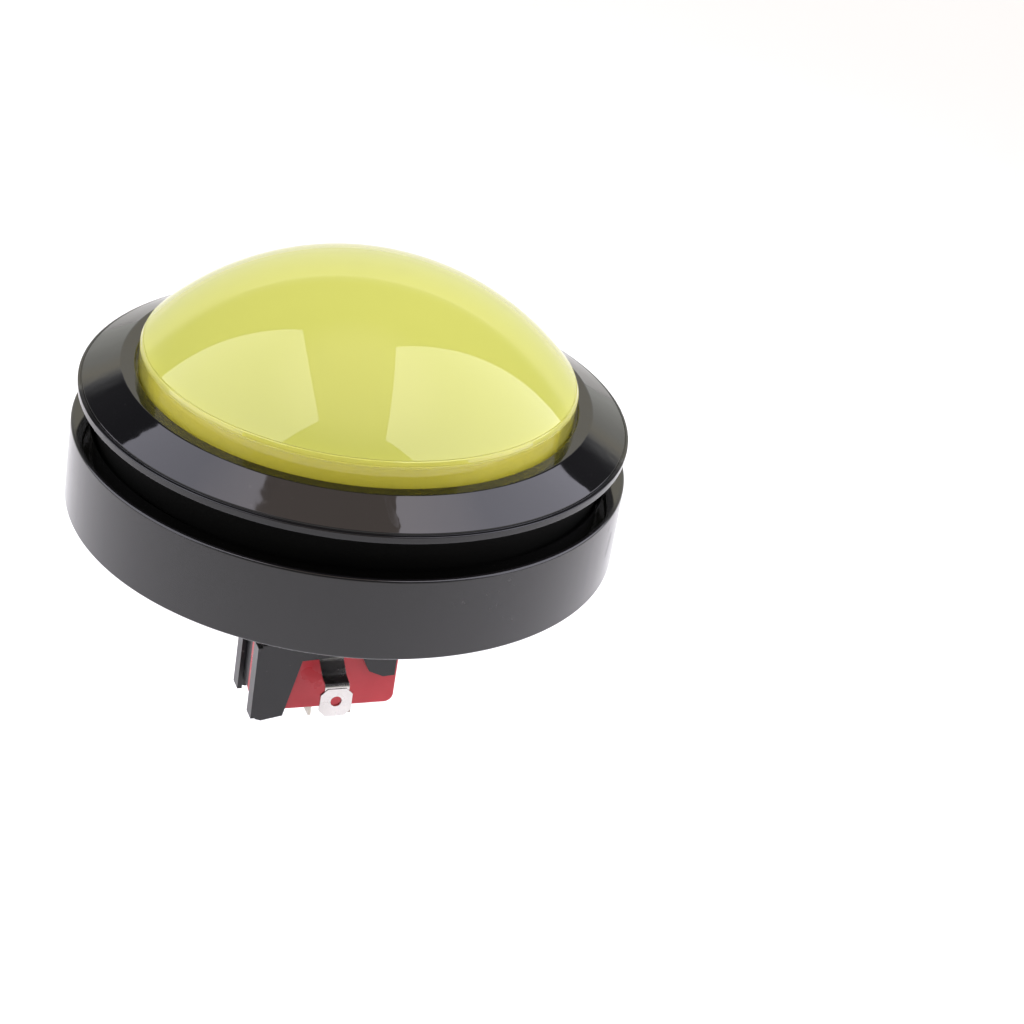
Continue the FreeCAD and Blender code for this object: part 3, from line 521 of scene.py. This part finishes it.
def helix_stem(name, r_crest, r_root, bore, z_top, z_spigot, z_bot, pitch, seg=168, dz=0.1):
    """Hollow stem with a real helical thread that fades in under the spigot and out before the chamfered end."""
    rows = int(round((z_spigot - z_bot) / dz))
    verts, faces = [], []

    def radius(z, th):
        u = ((z_spigot - z) / pitch - th / (2 * math.pi)) % 1.0
        # trapezoid: crest, flank, root, flank
        if u < 0.22:
            g = u / 0.22
        elif u < 0.50:
            g = 1.0
        elif u < 0.72:
            g = 1.0 - (u - 0.50) / 0.22
        else:
            g = 0.0
        g = g * g * (3 - 2 * g)
        fade = min(1.0, max(0.0, (z_spigot - z - 0.15) / 0.9))
        r = r_crest - (r_crest - r_root) * g * fade
        return min(r, r_crest - max(0.0, (z_bot + 0.8 - z)) * 0.9)

    levels = [z_top, z_spigot] + [z_spigot - dz * (i + 1) for i in range(rows)]
    for z in levels:
        for k in range(seg):
            th = 2 * math.pi * k / seg
            r = r_crest if z >= z_spigot else radius(z, th)
            verts.append((r * MM * math.cos(th), r * MM * math.sin(th), z * MM))
    inner = len(verts)
    for z in (z_bot, z_top):
        for k in range(seg):
            th = 2 * math.pi * k / seg
            verts.append((bore * MM * math.cos(th), bore * MM * math.sin(th), z * MM))
    n = len(levels)
    for i in range(n - 1):
        for k in range(seg):
            j = (k + 1) % seg
            faces.append((i * seg + k, (i + 1) * seg + k, (i + 1) * seg + j, i * seg + j))
    last = (n - 1) * seg
    for k in range(seg):
        j = (k + 1) % seg
        faces.append((last + k, inner + k, inner + j, last + j))
        faces.append((inner + k, inner + seg + k, inner + seg + j, inner + j))
        faces.append((inner + seg + k, k, j, inner + seg + j))
    me = bpy.data.meshes.new(name)
    me.from_pydata(verts, [], faces)
    me.update()
    bm = bmesh.new()
    bm.from_mesh(me)
    bmesh.ops.recalc_face_normals(bm, faces=bm.faces)
    bm.to_mesh(me)
    bm.free()
    o = bpy.data.objects.new(name, me)
    scene.collection.objects.link(o)
    return o


def cut(obj, cutters):
    """Boolean difference, applied, with the cutters removed afterwards."""
    for c in cutters:
        md = obj.modifiers.new("cut", "BOOLEAN")
        md.operation = "DIFFERENCE"
        md.solver = "EXACT"
        md.object = c
    bpy.context.view_layer.update()
    dg = bpy.context.evaluated_depsgraph_get()
    me = bpy.data.meshes.new_from_object(obj.evaluated_get(dg), depsgraph=dg)
    obj.modifiers.clear()
    old = obj.data
    obj.data = me
    bpy.data.meshes.remove(old)
    for c in cutters:
        bpy.data.objects.remove(c)


def smooth_by_angle(obj, deg=32.0):
    bm = bmesh.new()
    bm.from_mesh(obj.data)
    for f in bm.faces:
        f.smooth = True
    for e in bm.edges:
        if len(e.link_faces) == 2:
            e.smooth = e.calc_face_angle(0.0) < math.radians(deg)
    bm.to_mesh(obj.data)
    bm.free()


stem = helix_stem("drum_stem_thread", 12.0, 11.25, 10.0, 0.3, -6.0, -24.0, 2.0)
cut(stem, [block("notch_%d" % a, 8.0, 13.0, -4.4, 4.4, -25.0, -21.4, 0.0, a) for a in (0, 180)])
smooth_by_angle(stem, 38.0)
place(drum, "drum_plastic", "base", "base_drum")
place(stem, "drum_plastic", "base", "base_drum")
for k in range(8):
    place(block("drum_under_rib_%d" % k, 16.8, 40.2, -0.9, 0.9, 0.0, 0.9, 0.12, 22.5 + 45 * k), "drum_plastic", "base", "base_drum")
    place(block("drum_floor_rib_%d" % k, 16.2, 43.6, -0.8, 0.8, 2.3, 5.4, 0.2, 22.5 + 45 * k), "drum_plastic", "base", "base_drum")
for k in range(3):
    place(sector_block("drum_catch_lug_%d" % k, 47.4, 45.55, 8.8, 9.8, 90 + 120 * k, 7.0), "drum_plastic", "base", "base_drum")

# ------------------------------------------------------------------ return spring: a real coil
def coil(name, r_mean, wire, z0, z1, turns, dead, seg=48, ring=12):
    """Compression spring with closed, ground-looking end turns, as one closed tube."""
    lo, hi = z0 + wire / 2, z1 - wire / 2
    steps = int(turns * seg)
    bm = bmesh.new()
    rings = []
    for i in range(steps + 1):
        t = i / steps
        turn = t * turns
        if turn < dead:
            z = lo + wire * 0.5 * (turn / dead)
        elif turn > turns - dead:
            z = hi - wire * 0.5 * ((turns - turn) / dead)
        else:
            u = (turn - dead) / (turns - 2 * dead)
            z = lo + wire * 0.5 + (hi - lo - wire) * u
        a = 2 * math.pi * turn
        c = Vector((r_mean * math.cos(a), r_mean * math.sin(a), z))
        er = Vector((math.cos(a), math.sin(a), 0))
        ez = Vector((0, 0, 1))
        rings.append([bm.verts.new(c + (er * math.cos(b) + ez * math.sin(b)) * (wire / 2)) for b in [2 * math.pi * k / ring for k in range(ring)]])
    for a, b in zip(rings, rings[1:]):
        for k in range(ring):
            bm.faces.new((a[k], a[(k + 1) % ring], b[(k + 1) % ring], b[k]))
    bm.faces.new(list(reversed(rings[0])))
    bm.faces.new(rings[-1])
    bmesh.ops.recalc_face_normals(bm, faces=bm.faces)
    me = bpy.data.meshes.new(name)
    bm.to_mesh(me)
    bm.free()
    for p in me.polygons:
        p.use_smooth = len(p.vertices) == 4
    o = bpy.data.objects.new(name, me)
    scene.collection.objects.link(o)
    return o


lo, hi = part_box("return_spring")
spring = coil("return_spring_coil", (hi.x - 0.65 * MM), 1.3 * MM, lo.z, hi.z, 6.5, 1.0)
spring.data.materials.append(MATS["spring_steel"])
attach(spring, "base")
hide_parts("return_spring")
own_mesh(spring)

# ------------------------------------------------------------------ floor and lights
FLOOR_Z = -0.0960
fm = Mat("floor_pale")
fm.color(fm.ramp(fm.noise(3.0, 3.0), [(0.3, (0.88, 0.88, 0.88)), (0.7, (0.90, 0.90, 0.90))]))
fm.set(Roughness=0.75, Specular_IOR_Level=0.2)
bm = bmesh.new()
bmesh.ops.create_circle(bm, cap_ends=True, radius=4.0, segments=96)
me = bpy.data.meshes.new("studio_floor")
bm.to_mesh(me)
bm.free()
floor = bpy.data.objects.new("studio_floor", me)
floor.location = (0, 0, FLOOR_Z)
floor.data.materials.append(fm.m)
scene.collection.objects.link(floor)

AZ = math.radians(-20.0)
TURN = Matrix.Rotation(AZ, 3, "Z")


def softbox(name, centre, aim, u, w, h, radiance, glossy=True, color=(1, 1, 1), roll=0.0, shift=(0.0, 0.0)):
    """Rectangular area light facing along -aim; width along u turned by roll, then moved in its own plane by shift."""
    c = TURN @ Vector(centre)
    z = (TURN @ Vector(aim)).normalized()
    x = TURN @ Vector(u)
    x = (x - z * x.dot(z)).normalized()
    y = z.cross(x)
    t = math.radians(roll)
    x, y = x * math.cos(t) + y * math.sin(t), y * math.cos(t) - x * math.sin(t)
    c = c + x * shift[0] + y * shift[1]
    L = bpy.data.lights.new(name, "AREA")
    L.shape = "RECTANGLE"
    L.size, L.size_y = w, h
    L.energy = radiance * math.pi * w * h
    L.color = color
    o = bpy.data.objects.new(name, L)
    m = Matrix((x, y, z)).transposed().to_4x4()
    m.translation = c
    o.matrix_world = m
    o.visible_glossy = glossy
    o.visible_camera = False
    scene.collection.objects.link(o)
    return o


COOL = (0.965, 0.95, 1.09)
softbox("softbox_left", (-0.240, -0.026, 0.279), (-0.877, -0.110, 0.468), (-0.469, -0.020, -0.883), 0.478, 0.374, 2.65, color=COOL, roll=5.0, shift=(0.011, 0.0))
softbox("softbox_right", (0.211, -0.017, 0.277), (0.894, 0.030, 0.447), (0.443, 0.092, -0.892), 0.50, 0.370, 2.95, color=COOL)
softbox("fill_top", (0.0, 0.3, 2.4), (0, 0, 1), (1, 0, 0), 14.0, 14.0, 0.65, glossy=False)
softbox("fill_back", (0.45, 1.9, 1.3), (0, 0, 1), (1, 0, 0), 3.4, 2.0, 0.55, glossy=False)

world = bpy.data.worlds.new("studio")
scene.world = world
world.use_nodes = True
wn, wl = world.node_tree.nodes, world.node_tree.links
wn.clear()
wo = wn.new("ShaderNodeOutputWorld")
bg = wn.new("ShaderNodeBackground")
tc = wn.new("ShaderNodeTexCoord")
sx = wn.new("ShaderNodeSeparateXYZ")
wl.new(tc.outputs["Generated"], sx.inputs[0])
back = wn.new("ShaderNodeVectorMath")
back.operation = "DOT_PRODUCT"
back.inputs[1].default_value = tuple(TURN @ Vector((0, 1, 0)))
wl.new(tc.outputs["Generated"], back.inputs[0])


def world_ramp(src, stops):
    r = wn.new("ShaderNodeValToRGB")
    els = r.color_ramp.elements
    while len(els) < len(stops):
        els.new(0.5)
    for e, (pos, v) in zip(els, stops):
        e.position = pos
        e.color = (*v, 1) if isinstance(v, tuple) else (v, v, v, 1)
    wl.new(src, r.inputs["Fac"])
    return r.outputs["Color"]


def world_math(op, a, b):
    r = wn.new("ShaderNodeMath")
    r.operation = op
    for i, v in enumerate((a, b)):
        if isinstance(v, (int, float)):
            r.inputs[i].default_value = v
        else:
            wl.new(v, r.inputs[i])
    return r.outputs[0]


# pale room all round near the horizon, a taller pale backdrop behind, dark above, dim ceiling between the boxes
low = world_ramp(sx.outputs["Z"], [(0.0, (0.88, 0.885, 0.85)), (0.10, (0.84, 0.85, 0.81)), (0.24, 0.30), (0.34, 0.10), (0.86, 0.10), (0.97, (1.20, 1.00, 0.88))])
s_ = world_math("SUBTRACT", sx.outputs["Z"], world_math("MULTIPLY", back.outputs["Value"], 2.5))
pos = world_math("ADD", s_, 2.3)
drop = world_ramp(pos, [(0.0, (0.90, 0.90, 0.84)), (0.35, (0.92, 0.91, 0.83)), (0.55, (1.08, 1.02, 0.85)), (0.640, (0.92, 0.89, 0.80)), (0.72, 0.50), (0.80, 0.30), (0.88, 0.16), (0.95, 0.08), (1.0, 0.0)])
# the top edge of the backdrop reads as a thin bright line, only straight behind
edge = world_ramp(pos, [(0.0, 0.0), (0.56, 0.0), (0.645, (0.22, 0.20, 0.10)), (0.652, 0.62), (0.664, 0.62), (0.670, 0.0), (1.0, 0.0)])
edge_on = world_math("GREATER_THAN", back.outputs["Value"], 0.815)
lined = wn.new("ShaderNodeMix")
lined.data_type = "RGBA"
lined.blend_type = "ADD"
wl.new(edge_on, lined.inputs[0])
wl.new(drop, lined.inputs[6])
wl.new(edge, lined.inputs[7])
mxw = wn.new("ShaderNodeMix")
mxw.data_type = "RGBA"
mxw.blend_type = "LIGHTEN"
mxw.inputs[0].default_value = 1.0
wl.new(low, mxw.inputs[6])
wl.new(lined.outputs[2], mxw.inputs[7])
wl.new(mxw.outputs[2], bg.inputs["Color"])
bg.inputs["Strength"].default_value = 1.0
wl.new(bg.outputs[0], wo.inputs[0])

# ------------------------------------------------------------------ camera
E, D, ROLL, YAW, PITCH = 0.5107, 0.4525932, -0.1347, -0.0697, 0.0084
pos = Vector((0, -D * math.cos(E), D * math.sin(E)))
fwd = Vector((0, math.cos(E), -math.sin(E)))
right = Vector((1, 0, 0))
up = right.cross(fwd)


def turn(v, k, t):
    return Matrix.Rotation(t, 3, k) @ v


fwd, right = turn(fwd, up, YAW), turn(right, up, YAW)
fwd, up = turn(fwd, right, PITCH), turn(up, right, PITCH)
right, up = turn(right, fwd, ROLL), turn(up, fwd, ROLL)
pos, fwd, right, up = (TURN @ v for v in (pos, fwd, right, up))
cam_data = bpy.data.cameras.new("camera")
cam_data.sensor_width = 36.0
cam_data.lens = 2425.0 / 1024.0 * 36.0
cam_data.clip_start = 0.01
cam_data.clip_end = 20.0
cam = bpy.data.objects.new("camera", cam_data)
m = Matrix((right, up, -fwd)).transposed().to_4x4()
m.translation = pos
cam.matrix_world = m
scene.collection.objects.link(cam)
scene.camera = cam

bpy.context.view_layer.update()
